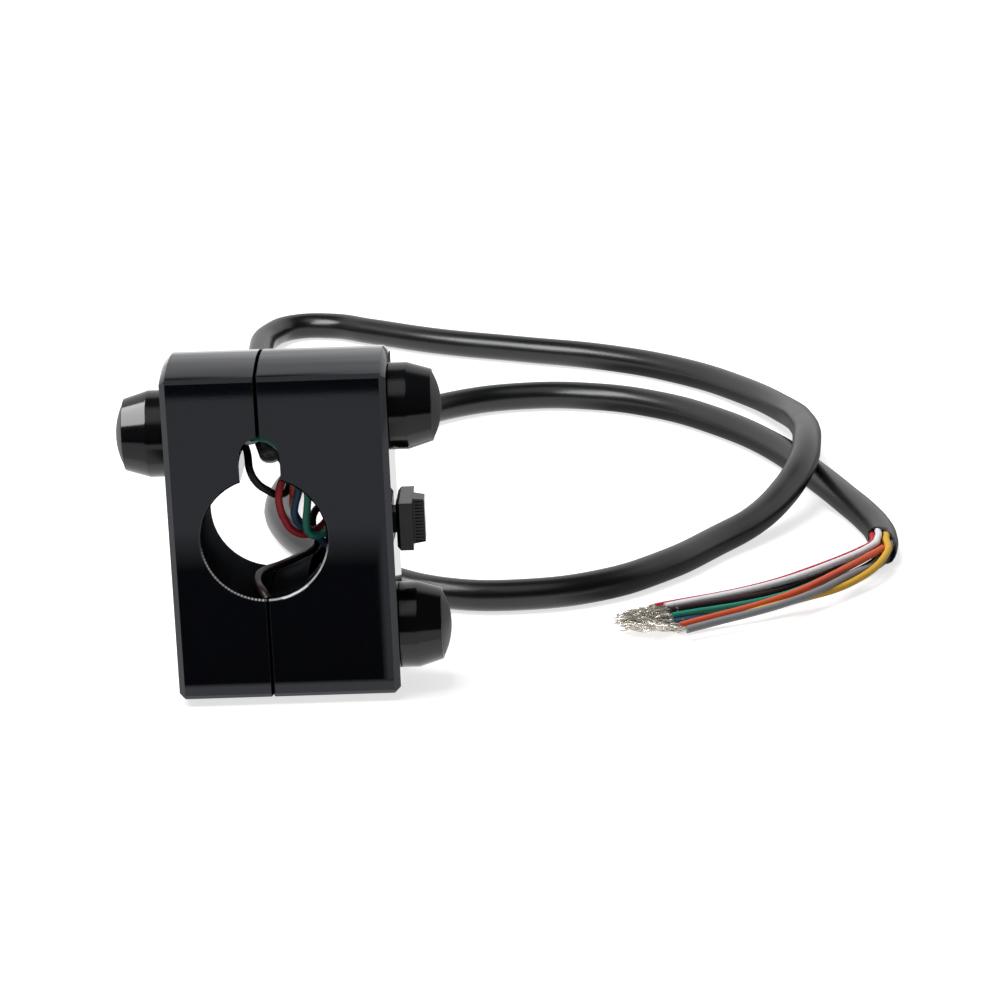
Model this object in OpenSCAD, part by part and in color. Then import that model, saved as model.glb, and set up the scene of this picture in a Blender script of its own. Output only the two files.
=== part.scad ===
// Handlebar switch cluster: a two-piece clamp housing for a round bar, with three push
// buttons, one slide switch and a cable that ends in nine stripped leads.
// Origin: bar axis, at the middle of the clamp. X points out of the switch face, Y runs
// along the bar towards the cable side, Z is up. Millimetres.

/* [Bar clamp] */
// Diameter of the handlebar
bar_d = 22.2; // [22:0.1:23.4]
// Gap between the two halves on the bar
split_gap = 0.3; // [0.2:0.1:0.8]
// Chamfer on the rim of the bar bore
bore_chamfer = 0.4; // [0.2:0.1:0.6]

/* [Housing] */
// Length of the housing along the bar
body_w = 20; // [19.5:0.5:26]
// Height of the housing from crest to crest
body_h = 61.6; // [61:0.2:70]
// Bar axis to the rear face
rear_t = 16.8; // [16.6:0.2:22]
// Bar axis to the switch face
front_t = 22.7; // [22.5:0.1:28]
// Radius of the crowned top and bottom
crown_r = 34; // [32:1:60]
// Chamfer between crown and end faces
corner_chamfer = 0.6; // [0.4:0.1:0.8]
// Chamfer round the rear and switch faces
edge_chamfer = 1.1; // [0.6:0.1:1.4]
// Broken edge along the split
edge_break = 0.2; // [0.1:0.1:0.3]

/* [Cable slot] */
// Width of the cable slot above the bore
slot_w = 7.2; // [6.8:0.2:8]
// Height of the slot's round end over the bar axis
slot_z = 15; // [14.6:0.1:15.4]

/* [Push buttons] */
// Top of the housing to the upper button
upper_inset = 10; // [9.6:0.1:10.2]
// Bottom of the housing to the lower button
lower_inset = 10.9; // [10.4:0.1:11.2]
// Rear button's wiring over the bore
rear_lift = 2; // [1.8:0.1:2.2]
// Outside diameter of the bezel
bezel_d = 15.4; // [15:0.1:16]
// Length of the bezel's straight collar
collar_h = 3.2; // [3:0.1:4]
// Length of the bezel's cone
cone_h = 4.4; // [3.5:0.1:5]
// Diameter of the bezel's rim
rim_d = 12.7; // [12.6:0.1:13]
// Diameter of the button cap
cap_d = 11.8; // [11.4:0.1:11.9]
// Rise of the domed cap over the rim
dome_h = 1.5; // [1.2:0.1:2.2]
// Travel of the button
press = 1.5; // [1:0.1:1.6]
// Diameter of the bezel's stub in the housing
stub_d = 14.2; // [14:0.1:14.6]
// Length of the bezel's stub
stub_h = 4; // [3.5:0.1:4.5]
// Height of the contact base
contact_h = 5.4; // [5:0.1:6]
// Wire diameter of the return spring
spring_wire = 0.6; // [0.4:0.1:0.7]
// Turns of the return spring
spring_turns = 5; // [4:1:6]

/* [Slide switch] */
// Length of the slide cap along the bar
slide_l = 10.6; // [9:0.2:11]
// Height of the slide cap
slide_w = 8.7; // [8:0.1:9.5]
// Thickness of the slide cap
slide_t = 2.9; // [2.6:0.1:3.4]
// Thickness of the thumb fin
fin_t = 4; // [3:0.2:5]
// Rise of the thumb fin
fin_h = 2; // [1.5:0.1:3]
// Spacing of the grip grooves
rib_pitch = 0.6; // [0.5:0.1:0.9]
// Travel of the slide each way
slide_travel = 3; // [2:0.1:3.2]
// Wall between the switch face and the wiring cavity
face_wall = 2.5; // [2.3:0.1:3]

/* [Clamp screws] */
// Thread diameter
screw_d = 2.5; // [2:0.1:2.6]
// Head diameter
head_d = 4.5; // [3.8:0.1:4.6]
// Head height
head_h = 2.5; // [2:0.1:3]
// Key width of the socket
key_w = 2; // [1.5:0.1:2]
// Half spacing along the bar
screw_y = 6.2; // [6.1:0.1:6.4]
// Top and bottom of the housing to the screws
screw_inset = 4.9; // [4.8:0.1:5.2]
// Depth of thread in the front half
thread_l = 7; // [5:0.2:7.4]

/* [Cable] */
// Diameter of the cable sleeve
sleeve_d = 6; // [5.5:0.1:6.4]
// Diameter of one insulated lead
lead_d = 1.4; // [1.1:0.1:1.5]
// Diameter of a stripped end
strand_d = 1; // [0.8:0.1:1.1]

/* [Hidden] */
$fn = 64;

// Clearances
slide_fit = 0.1;
seat_fit = 0.05;
contact_gap = 0.1;
eps = 0.02;

// Housing
half_w = body_w / 2;
half_h = body_h / 2;
bar_r = bar_d / 2;
floor_z = -half_h;
crown_z = half_h - crown_r;
crown_edge_z = crown_z + sqrt(pow(crown_r, 2) - pow(half_w, 2));
black_metal = "#17181b";

// Push buttons, along their own axis: 0 is the housing face and + points out of it
bezel_r = bezel_d / 2;
rim_r = rim_d / 2;
rim_u = collar_h + cone_h;
cap_r = cap_d / 2;
cap_bore_r = cap_r + slide_fit;
flange_r = cap_r + 0.5;
flange_h = 1.3;
shoulder_u = collar_h - 0.2;
flange_u = shoulder_u - contact_gap - flange_h;
stub_r = stub_d / 2;
counterbore_r = flange_r + slide_fit;
dome_r = (pow(cap_r, 2) + pow(dome_h, 2)) / (2 * dome_h);
cap_hollow_r = cap_r - 0.9;
cap_hollow_u = rim_u - 2.3;
base_top_u = -stub_h - contact_gap;
base_bottom_u = base_top_u - contact_h;
base_step = 1.1;
base_r = stub_r - base_step;
pocket_r = stub_r + seat_fit;
base_pocket_r = base_r + contact_gap;
pocket_u = base_bottom_u - seat_fit;
wire_bore_r = 5;
front_wire_room = 5.4;
rear_wire_room = 2.9;
recess_r = 3.4;
recess_u = base_top_u - 2.2;
contact_r = 2.8;
contact_t = 0.5;
stem_r = 1.5;
terminal_y = 1.6;
terminal_r = 0.5;
terminal_head_r = 0.9;
terminal_end_u = base_bottom_u - 1.6;
terminal_head_u = recess_u + 1;
contact_u = terminal_head_u + contact_gap + press;
spring_r = 4.2;
spring_low_u = base_top_u + spring_wire / 2 + eps;
spring_high_u = cap_hollow_u - spring_wire / 2 - eps;

// Slide switch, measured inwards from the inner side of the face wall
inner_x = front_t - face_wall;
cavity_y = half_w - 2.1;
cavity_z = 9;
plate_t = 0.5;
frame_y = cavity_y - 0.3;
frame_wall_z = 4.9;
frame_h = 5.5;
board_t = 0.8;
ear_z = cavity_z - 0.4;
stem_y = 2.2;
stem_z = 1.9;
stem_gap = 0.25;
carriage_y = frame_y - slide_travel - 0.5;
carriage_z = frame_wall_z - plate_t - 0.3;
carriage_x0 = inner_x - 3;
carriage_x1 = inner_x - plate_t - 0.2;
board_x = inner_x - frame_h;
pad_t = 0.15;
slide_foot = 0.4;
slide_x0 = front_t + slide_foot;
slide_x1 = slide_x0 + slide_t;
stem_top_x = slide_x0 + 1.5;
slide_pin_z = 3;
slide_pin_end = board_x - 2.5;
slide_screw_z = 7.2;
slide_screw_r = 0.95;
slide_screw_head_r = 1.4;
slide_screw_head_h = 1.2;
slide_screw_depth = 1.8;

// Wiring spaces of the front half
relief_t = 3.9;
relief_r = bar_r + relief_t;
relief_y = 6;
relief_low = -52;
relief_high = 80;
link_r = 2.1;
link_z = slot_z + 2;
front_wire_x = front_t + pocket_u - front_wire_room;
rear_wire_x = -rear_t - pocket_u + rear_wire_room;
link_end_x = front_wire_x + 1;
rear_link_z = slot_z + 1.5;
drop_x0 = 9.5;
drop_x1 = 13.6;
drop_y = 3;

// Heights of the buttons: from the ends of the housing, and clear of the bore and its relief
wire_wall = 0.3;
rear_crest = 13.4;
link_reach = 3.8;
relief_top = sqrt(pow(relief_r, 2) - pow(front_wire_x, 2));
relief_bottom = relief_r * sin(relief_low);
bore_top = sqrt(pow(bar_r, 2) - pow(rear_wire_x, 2));
upper_z = max(half_h - upper_inset, relief_top + wire_bore_r + wire_wall);
lower_z = min(lower_inset - half_h, relief_bottom - wire_bore_r - wire_wall);
rear_low_z = bore_top + wire_bore_r;
rear_z = max(rear_low_z + wire_wall, min(rear_low_z + rear_lift, half_h - rear_crest));
link_end_z = max(link_z, upper_z - link_reach);
link_slope = atan2(link_end_z - link_z, link_end_x);

// Clamp screws
screw_z = half_h - screw_inset;
head_sink = 0.4;
screw_hole_r = screw_d / 2 + 0.1;
thread_hole_r = screw_d / 2 + seat_fit;
head_hole_r = head_d / 2 + 0.15;
head_x = -rear_t + head_sink + head_h;

// Cable route: points of the centre line. The first two lie in the slot, the others give
// x, y and the height of the sleeve's underside over the floor.
sleeve_r = sleeve_d / 2;
lie_z = floor_z + sleeve_r;
sleeve_start_y = 4;
laid_points = [
    [0, 30, 41.8], [-1, 60, 36.8], [-4, 90, 27.8], [-8, 120, 16.8], [-12, 150, 7], [-15, 178, 1.2],
    [-18, 204, 0], [-20.5, 223, 0], [-19.5, 235.5, 0], [-14.5, 243, 0], [-5, 243, 0], [4, 237, 0],
    [20, 226, 0], [40, 216, 0], [60, 206, 0], [77, 192, 0], [90, 173, 0.4], [98, 152, 1.8],
    [101, 131, 4.6], [101, 112, 6.4], [99, 97, 5.6], [95, 87, 3.2], [89, 77, 1], [81, 67, 0],
    [70, 52, 0], [58, 42, 0], [44, 38, 0], [30, 40, 0], [16, 51, 0], [3, 68, 0],
    [-5, 86, 0], [-7, 104, 0], [-3, 124, 0], [5, 143, 0], [15, 160, 0], [28, 172, 0],
    [42, 176, 0], [56, 174, 0], [70, 166, 0], [84, 150, 0], [95, 130, 0], [102, 110, 0],
    [107, 93, 0], [111, 80, 0], [114.5, 70, 0], [113, 61, 0]
];
sleeve_points = concat(
    [[0, sleeve_start_y, slot_z], [0, half_w, slot_z]],
    [for (p = laid_points) [p[0], p[1], lie_z + p[2]]]
);

// Leads: one centre line on the floor, and for each lead its place beside that line (+ is
// nearer the viewer) and over the floor at the sleeve's mouth, in the bend, on the run and
// at the stripped end.
lead_r = lead_d / 2;
lead_line = [[113, 61], [112.75, 59.5], [111.88, 54.3], [103.3, 43.4], [91.7, 34.4], [70.6, 25.5]];
strand_line = [[70.4, 25.42], [66.1, 23.6], [61.7, 21.75]];
lead_spread = [
    [[-2.1, 3.3], [-4, 4.2], [-6.8, 2.6], [-5.6, 2.2]],
    [[-1.4, 4.7], [-1.4, 4.9], [-4.7, 3.3], [-0.8, 3.7]],
    [[-1.5, 1.5], [-5.4, 1.9], [-4.2, 1.4], [0.9, 3.5]],
    [[0.3, 2.6], [-2.9, 3.6], [-0.8, 1.3], [2.2, 2.7]],
    [[0, 0.9], [-0.3, 0.9], [1.2, 1.5], [2.6, 0.7]],
    [[1.5, 1.4], [1.7, 0.9], [4.8, 1.2], [3.5, 1.9]],
    [[1.5, 4.6], [2.4, 3.9], [5.9, 1.5], [7, 1.5]],
    [[0, 5.2], [0.3, 5.5], [1.5, 3.1], [8.1, 3.0]],
    [[1.8, 2.9], [-0.2, 3.2], [5.6, 4.0], [8.9, 1.7]]
];
lead_colors = [
    "#b3202a", "#e6e9ee", "#3a1a1c", "#12795a", "#17181b", "#1f4d86", "#dba92a", "#d4552f", "#85868a"
];

// Vector helpers and the swept tube
function unit(v) = v / norm(v);
function along(p, i) = unit(p[min(i + 1, len(p) - 1)] - p[max(i - 1, 0)]);
function upright(n, t) = unit(n - (n * t) * t);
function first_side(t) = upright(abs(t[2]) < 0.9 ? [0, 0, 1] : [1, 0, 0], t);
function sides(p) = [
    for (i = 0, n = first_side(along(p, 0)); i < len(p); i = i + 1, n = upright(n, along(p, i))) n
];
function ring(c, t, n, r, k) = [
    for (j = [0:k - 1]) let (a = 360 * (j + 0.5) / k) c + r * (cos(a) * n + sin(a) * cross(t, n))
];
module tube(p, d, k) {
    side = sides(p);
    rings = [for (i = [0:len(p) - 1]) each ring(p[i], along(p, i), side[i], d / 2, k)];
    last = len(p) - 1;
    skin = [
        for (i = [0:last - 1], j = [0:k - 1])
            let (a = i * k + j, b = i * k + (j + 1) % k)
                each [[a, a + k, b], [b, a + k, b + k]]
    ];
    caps = concat(
        [for (j = [1:k - 2]) [0, j, j + 1]],
        [for (j = [1:k - 2]) [last * k, last * k + j + 1, last * k + j]]
    );
    polyhedron(rings, concat(skin, caps), convexity = 10);
}

// Solid of revolution along X, with a chamfer at each end
module chamfered_disc(r, x0, x1, c0, c1) {
    rotate([0, 90, 0])
        rotate_extrude($fn = 96)
            polygon([[0, x0], [r - c0, x0], [r, x0 + c0], [r, x1 - c1], [r - c1, x1], [0, x1]]);
}

// Housing block between two X planes: flat end faces, crowned top and bottom, chamfered corners
module housing_block(x0, x1, c0, c1) {
    difference() {
        intersection() {
            linear_extrude(height = body_h + 2, center = true)
                polygon([
                    [x0, c0 - half_w], [x0 + c0, -half_w], [x1 - c1, -half_w], [x1, c1 - half_w],
                    [x1, half_w - c1], [x1 - c1, half_w], [x0 + c0, half_w], [x0, half_w - c0]
                ]);
            translate([0, 0, crown_z]) chamfered_disc(crown_r, x0, x1, c0, c1);
            translate([0, 0, -crown_z]) chamfered_disc(crown_r, x0, x1, c0, c1);
        }
        for (fy = [0, 1], fz = [0, 1])
            mirror([0, fy, 0]) mirror([0, 0, fz]) corner_cut(x0, x1);
    }
}

// What the chamfer takes off the block, for the +Y +Z corner
module corner_cut(x0, x1) {
    tilt = asin(half_w / crown_r);
    low = [half_w, crown_edge_z - corner_chamfer];
    high = [half_w, crown_edge_z] + corner_chamfer * [-cos(tilt), sin(tilt)];
    out = 2 * corner_chamfer * unit([high[1] - low[1], low[0] - high[0]]);
    translate([x0 - 1, 0, 0])
        rotate([90, 0, 90])
            linear_extrude(height = x1 - x0 + 2)
                polygon([low, low + out, high + out, high]);
}

// Bar bore with chamfered rims, and the cable slot over it
module bar_bore() {
    rotate([90, 0, 0]) cylinder(r = bar_r, h = body_w + 2, center = true, $fn = 96);
    for (f = [0, 1])
        mirror([0, f, 0])
            translate([0, half_w + eps, 0])
                rotate([90, 0, 0])
                    cylinder(r1 = bar_r + bore_chamfer + eps, r2 = bar_r, h = bore_chamfer + eps, $fn = 96);
}

module cable_slot() {
    translate([-slot_w / 2, -half_w - 1, 0]) cube([slot_w, body_w + 2, slot_z]);
    translate([0, 0, slot_z]) rotate([90, 0, 0]) cylinder(d = slot_w, h = body_w + 2, center = true);
}

// Places a button part on its face: axis out of the front or rear of the housing
module on_front(z) { translate([front_t, 0, z]) rotate([0, 90, 0]) children(); }
module on_rear(z) { translate([-rear_t, 0, z]) rotate([0, -90, 0]) children(); }

// Seat for a button with a narrower room for its wiring under it
module button_pocket(wire_room) {
    translate([0, 0, -stub_h - seat_fit]) cylinder(r = pocket_r, h = stub_h + 1);
    translate([0, 0, pocket_u]) cylinder(r = base_pocket_r, h = -pocket_u);
    translate([0, 0, pocket_u - wire_room]) cylinder(r = wire_bore_r, h = wire_room + 1);
}

module screw_places() {
    for (y = [-screw_y, screw_y], z = [-screw_z, screw_z])
        translate([0, y, z]) rotate([0, 90, 0]) children();
}

module rear_housing() {
    color(black_metal)
    difference() {
        housing_block(-rear_t, -split_gap / 2, edge_chamfer, edge_break);
        bar_bore();
        cable_slot();
        on_rear(rear_z) button_pocket(rear_wire_room);
        translate([rear_wire_x - 1, 0, rear_link_z])
            rotate([0, 90, 0]) cylinder(r = link_r, h = rear_t);
        screw_places() {
            translate([0, 0, -rear_t]) cylinder(r = screw_hole_r, h = rear_t);
            translate([0, 0, -rear_t - 1]) cylinder(r = head_hole_r, h = head_x + rear_t + 1);
        }
    }
}

module front_housing() {
    color(black_metal)
    difference() {
        housing_block(split_gap / 2, front_t, edge_break, edge_chamfer);
        bar_bore();
        cable_slot();
        for (z = [upper_z, lower_z]) on_front(z) button_pocket(front_wire_room);
        slide_cavity();
        wire_spaces();
        screw_places() translate([0, 0, -1]) cylinder(r = thread_hole_r, h = thread_l + 1.5);
    }
}

// Room for the slide switch, its slot in the face and its screw holes
module slide_cavity() {
    slot_y = stem_y + slide_travel + stem_gap;
    slot_half_z = stem_z + stem_gap;
    translate([drop_x0, -cavity_y, -cavity_z]) cube([inner_x - drop_x0, 2 * cavity_y, 2 * cavity_z]);
    translate([inner_x - 1, -slot_y, -slot_half_z]) cube([face_wall + 2, 2 * slot_y, 2 * slot_half_z]);
    for (s = [-1, 1])
        translate([inner_x - 1, 0, s * slide_screw_z])
            rotate([0, 90, 0]) cylinder(r = slide_screw_r + seat_fit, h = slide_screw_depth + 1.2);
}

// Relief round the bore for the leads, and the ways to the button pockets
module wire_spaces() {
    rotate([90, 0, 0])
        rotate([0, 0, relief_low])
            rotate_extrude(angle = relief_high - relief_low, $fn = 96)
                translate([bar_r - 1, -relief_y]) square([relief_r - bar_r + 1, 2 * relief_y]);
    translate([0, 0, link_z])
        rotate([0, 90 - link_slope, 0]) cylinder(r = link_r, h = link_end_x / cos(link_slope));
    translate([drop_x0, -drop_y, lower_z]) cube([drop_x1 - drop_x0, 2 * drop_y, -lower_z - cavity_z + 1]);
}

// Four socket head screws that pull the halves together
module clamp_screws() {
    color("#2b2c2f")
    screw_places()
        difference() {
            union() {
                translate([0, 0, head_x - head_h]) cylinder(d = head_d, h = head_h);
                translate([0, 0, head_x - eps]) cylinder(d = screw_d, h = thread_l - head_x + eps);
            }
            translate([0, 0, head_x - head_h - 1])
                cylinder(d = key_w / cos(30), h = head_h / 2 + 1, $fn = 6);
        }
}

// Bezel: collar and cone outside, a stub in the housing, a shoulder that keeps the cap in
module button_bezel() {
    color("#1d1e21")
    rotate_extrude($fn = 96)
        polygon([
            [cap_bore_r, rim_u], [rim_r, rim_u], [bezel_r, collar_h], [bezel_r, 0], [stub_r, 0],
            [stub_r, -stub_h], [counterbore_r, -stub_h], [counterbore_r, shoulder_u], [cap_bore_r, shoulder_u]
        ]);
}

// Cap: domed thimble with a flange under the shoulder and a stem to the contact
module button_cap() {
    color("#26272a") {
        difference() {
            union() {
                intersection() {
                    translate([0, 0, rim_u + dome_h - dome_r]) sphere(r = dome_r, $fn = 96);
                    translate([0, 0, flange_u]) cylinder(r = cap_r, h = rim_u + dome_h, $fn = 96);
                }
                translate([0, 0, flange_u]) cylinder(r = flange_r, h = flange_h);
            }
            translate([0, 0, flange_u - 1]) cylinder(r = cap_hollow_r, h = cap_hollow_u - flange_u + 1);
        }
        translate([0, 0, contact_u + contact_t])
            cylinder(r = stem_r, h = cap_hollow_u - contact_u - contact_t + eps);
    }
}

// Return spring: one unbroken tube between the contact base and the cap
spring_steps = 8;
spring_points = [
    for (i = [0:spring_turns * spring_steps])
        let (a = 360 * i / spring_steps, f = i / (spring_turns * spring_steps))
            [spring_r * cos(a), spring_r * sin(a), spring_low_u + f * (spring_high_u - spring_low_u)]
];
spring_gap = min([
    for (i = [0:len(spring_points) - 1], j = [0:len(spring_points) - 1])
        if (j - i >= spring_steps / 2) norm(spring_points[i] - spring_points[j])
]) - spring_wire;
echo(str("least gap between the turns of a return spring: ", spring_gap, " mm"));

module button_spring() { color("#b8bbc0") tube(spring_points, spring_wire, 6); }

// Moving contact disc on the end of the cap's stem
module button_contact() {
    color("#c8a24a") translate([0, 0, contact_u]) cylinder(r = contact_r, h = contact_t);
}

// Insulating base that carries the spring and the two terminals
module button_contact_base() {
    color("#2f2a26")
    difference() {
        translate([0, 0, base_bottom_u]) cylinder(r = base_r, h = contact_h);
        translate([0, 0, recess_u]) cylinder(r = recess_r, h = 5);
        for (s = [-1, 1])
            translate([0, s * terminal_y, base_bottom_u - 1])
                cylinder(r = terminal_r + seat_fit, h = contact_h);
    }
}

module button_terminals() {
    color("#c8a24a")
    for (s = [-1, 1]) {
        translate([0, s * terminal_y, recess_u])
            cylinder(r = terminal_head_r, h = terminal_head_u - recess_u);
        translate([0, s * terminal_y, terminal_end_u])
            cylinder(r = terminal_r, h = recess_u - terminal_end_u + eps);
    }
}

module upper_bezel() { on_front(upper_z) button_bezel(); }
module upper_cap() { on_front(upper_z) button_cap(); }
module upper_spring() { on_front(upper_z) button_spring(); }
module upper_contact() { on_front(upper_z) button_contact(); }
module upper_contact_base() { on_front(upper_z) button_contact_base(); }
module upper_terminals() { on_front(upper_z) button_terminals(); }
module lower_bezel() { on_front(lower_z) button_bezel(); }
module lower_cap() { on_front(lower_z) button_cap(); }
module lower_spring() { on_front(lower_z) button_spring(); }
module lower_contact() { on_front(lower_z) button_contact(); }
module lower_contact_base() { on_front(lower_z) button_contact_base(); }
module lower_terminals() { on_front(lower_z) button_terminals(); }
module rear_bezel() { on_rear(rear_z) button_bezel(); }
module rear_cap() { on_rear(rear_z) button_cap(); }
module rear_spring() { on_rear(rear_z) button_spring(); }
module rear_contact() { on_rear(rear_z) button_contact(); }
module rear_contact_base() { on_rear(rear_z) button_contact_base(); }
module rear_terminals() { on_rear(rear_z) button_terminals(); }

// Box between two corners
module block(a, b) { translate(a) cube(b - a); }

// Slide cap: chamfered block with a grooved thumb fin
module slide_cap() {
    bevel = 0.6;
    half_l = slide_l / 2;
    half_cap_w = slide_w / 2;
    fin_z = half_cap_w - 0.2;
    fin_draft = 0.25;
    groove = 0.15;
    grooves = floor((2 * fin_z - 0.8) / rib_pitch);
    color("#1c1d20")
    difference() {
        union() {
            hull() {
                block(
                    [slide_x0, bevel - half_l, bevel - half_cap_w],
                    [slide_x1, half_l - bevel, half_cap_w - bevel]
                );
                block([slide_x0 + bevel, -half_l, -half_cap_w], [slide_x1, half_l, half_cap_w]);
            }
            hull() {
                block([slide_x1 - 1, -fin_t / 2, -fin_z], [slide_x1 + 0.2, fin_t / 2, fin_z]);
                block(
                    [slide_x1, fin_draft - fin_t / 2, fin_draft - fin_z],
                    [slide_x1 + fin_h, fin_t / 2 - fin_draft, fin_z - fin_draft]
                );
            }
        }
        block([slide_x0 - 1, -stem_y - eps, -stem_z - eps], [stem_top_x + eps, stem_y + eps, stem_z + eps]);
        for (s = [-1, 1], i = [0:grooves])
            translate([slide_x1 + 0.3, s * fin_t / 2, (i - grooves / 2) * rib_pitch - rib_pitch / 4])
                translate([0, s > 0 ? -fin_draft - groove : 0, 0])
                    cube([fin_h, fin_draft + groove, rib_pitch / 2]);
    }
}

// Actuator: carriage inside the frame and the stem that carries the cap
module slide_actuator() {
    color("#303236") {
        block([carriage_x0, -carriage_y, -carriage_z], [carriage_x1, carriage_y, carriage_z]);
        block([carriage_x1 - eps, -stem_y, -stem_z], [stem_top_x, stem_y, stem_z]);
    }
}

// Wiper: bent spring strip under the carriage with two contact points
module slide_wiper() {
    strip = 0.3;
    low = carriage_x0 - board_x - pad_t - contact_gap;
    reach = 2.4;
    color("#c8a24a")
    translate([carriage_x0, 0, -carriage_z + 0.6])
        linear_extrude(height = 2 * carriage_z - 1.2)
            polygon([
                [0, -1], [0, 1], [strip - low, reach - 0.3], [strip - low, reach + 0.3], [-low, reach + 0.3],
                [-low, reach - 0.4], [-strip, 0.8], [-strip, -0.8], [-low, 0.4 - reach], [-low, -reach - 0.3],
                [strip - low, -reach - 0.3], [strip - low, 0.3 - reach]
            ]);
}

// Frame: stamped plate against the face wall, with two side walls and two screw ears
module slide_frame() {
    slot_y = stem_y + slide_travel + stem_gap;
    color("#a9adb3")
    difference() {
        union() {
            block([inner_x - plate_t, -frame_y, -frame_wall_z], [inner_x, frame_y, frame_wall_z]);
            block([inner_x - plate_t, -2.5, -ear_z], [inner_x, 2.5, ear_z]);
            for (s = [-1, 1])
                translate([inner_x - frame_h, -frame_y, s > 0 ? frame_wall_z - plate_t : -frame_wall_z])
                    cube([frame_h, 2 * frame_y, plate_t]);
        }
        block([inner_x - plate_t - 1, -slot_y, -stem_z - stem_gap], [inner_x + 1, slot_y, stem_z + stem_gap]);
        for (s = [-1, 1])
            translate([inner_x - 2, 0, s * slide_screw_z])
                rotate([0, 90, 0]) cylinder(r = slide_screw_r + seat_fit, h = 3);
    }
}

// Terminal board that closes the frame
module slide_base() {
    color("#6b4a2a")
    difference() {
        block([board_x - board_t, -frame_y, -frame_wall_z], [board_x, frame_y, frame_wall_z]);
        for (z = [-slide_pin_z, 0, slide_pin_z])
            translate([board_x - 2, 0, z]) rotate([0, 90, 0]) cylinder(r = terminal_r + seat_fit, h = 3);
    }
}

module slide_terminals() {
    color("#c8a24a")
    for (z = [-slide_pin_z, 0, slide_pin_z])
        translate([0, 0, z]) rotate([0, 90, 0]) {
            translate([0, 0, slide_pin_end]) cylinder(r = terminal_r, h = board_x - slide_pin_end + eps);
            translate([0, 0, board_x]) cylinder(r = terminal_head_r, h = pad_t);
        }
}

module slide_screws() {
    color("#8f9398")
    for (s = [-1, 1])
        translate([inner_x, 0, s * slide_screw_z]) rotate([0, 90, 0]) {
            translate([0, 0, -plate_t - slide_screw_head_h])
                cylinder(r = slide_screw_head_r, h = slide_screw_head_h);
            translate([0, 0, -plate_t - eps]) cylinder(r = slide_screw_r, h = plate_t + slide_screw_depth);
        }
}

module cable_sleeve() { color("#1b1c1e") tube(sleeve_points, sleeve_d, 10); }

// Outer leads: the shared line, shifted by each lead's own spread
function line_side(p, i) = let (t = along(p, i)) [-t[1], t[0]];
function beside(p, i, s) = let (q = p[i] + s[0] * line_side(p, i)) [q[0], q[1], floor_z + s[1]];
function spread_at(k, f) =
    let (s = lead_spread[k], j = min(floor(f), len(s) - 2))
    s[j] + (s[j + 1] - s[j]) * (f - j);
lead_last = len(lead_line) - 1;
function lead_points(k) = [
    for (i = [0:lead_last])
        beside(lead_line, i, spread_at(k, max(0, (i - 1) / (lead_last - 1) * 3)))
];
function strand_points(k) =
    let (s = spread_at(k, 3), drop = (lead_d - strand_d) / 2)
    [for (i = [0:2]) beside(strand_line, i, [s[0] * (1 - 0.1 * i), s[1] - drop * i / 2])];

module outer_lead(k) { color(lead_colors[k]) tube(lead_points(k), lead_d, 8); }
module lead_red() { outer_lead(0); }
module lead_white() { outer_lead(1); }
module lead_maroon() { outer_lead(2); }
module lead_green() { outer_lead(3); }
module lead_black() { outer_lead(4); }
module lead_blue() { outer_lead(5); }
module lead_yellow() { outer_lead(6); }
module lead_orange() { outer_lead(7); }
module lead_grey() { outer_lead(8); }
module stripped_ends() { color("#c9c6bd") for (k = [0:8]) tube(strand_points(k), strand_d, 6); }

// Inner leads: from the end of the sleeve in the slot to the terminals, outside the bar bore
pack_r = sleeve_r - lead_r - 0.2;
front_pin_x = front_t + terminal_end_u;
rear_pin_x = -rear_t - terminal_end_u;
turn_x = front_pin_x - 2;
wire_r = bar_r + 2.3;
wire_x = (bar_r + board_x - board_t) / 2;
slot_side = slot_w / 2;
pin_side = terminal_r + lead_r + seat_fit;
pin_x = wire_x + 0.4;
function in_link(x, y, up) = [x, y, link_z + x * tan(link_slope) + up];
function packed(r, a) = [r * cos(a), sleeve_start_y, slot_z + r * sin(a)];
function round_bar(a, y) = [wire_r * cos(a), y, wire_r * sin(a)];
function to_front_pin(y, z) = [[turn_x + 0.8, y, z], [front_pin_x, y, z]];
function to_rear_pin(y) = [[rear_pin_x + 0.7, y, rear_z], [rear_pin_x, y, rear_z]];
module inner_lead(k, start, way) {
    color(lead_colors[k]) tube(concat([start, start - [0, 0.8, 0]], way), lead_d, 8);
}

module inner_red() {
    inner_lead(0, packed(pack_r, -22.5), [
        [2.4, 1.8, slot_z - 1.4], round_bar(66, 1.9), round_bar(50, 2.7), round_bar(25, 2.8),
        [wire_x + 0.1, 2.8, 2], [wire_x + 0.3, pin_side, 0.6], [pin_x, pin_side, -0.4]
    ]);
}
module inner_white() {
    inner_lead(1, packed(pack_r, 157.5), concat([
        [1.4 - slot_side, 1.6, slot_z + 1], [0.4 - slot_side, 0.9, rear_link_z + 0.1],
        [-0.6 - slot_side, 1.1, rear_link_z + 0.4]
    ], to_rear_pin(terminal_y)));
}
module inner_maroon() {
    inner_lead(2, packed(0, 0), concat([
        [0.2, 0.8, slot_z], [1.2, -2.9, slot_z - 0.7],
        round_bar(66, -3.8), round_bar(46, -4), round_bar(25, -4.2),
        [wire_x, -4.2, 2], [wire_x, -4.2, 5 - cavity_z], [wire_x + 1, -2.5, 2.4 - cavity_z],
        [wire_x + 1.2, 0.5, 1.8 - cavity_z],
        [drop_x0 + 2.1, terminal_y, -cavity_z - 1], [drop_x0 + 1.5, terminal_y, -cavity_z - 4],
        [drop_x0 + 0.8, terminal_y, lower_z + 2.4], [turn_x, terminal_y, lower_z + 0.7]
    ], to_front_pin(terminal_y, lower_z)));
}
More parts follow.
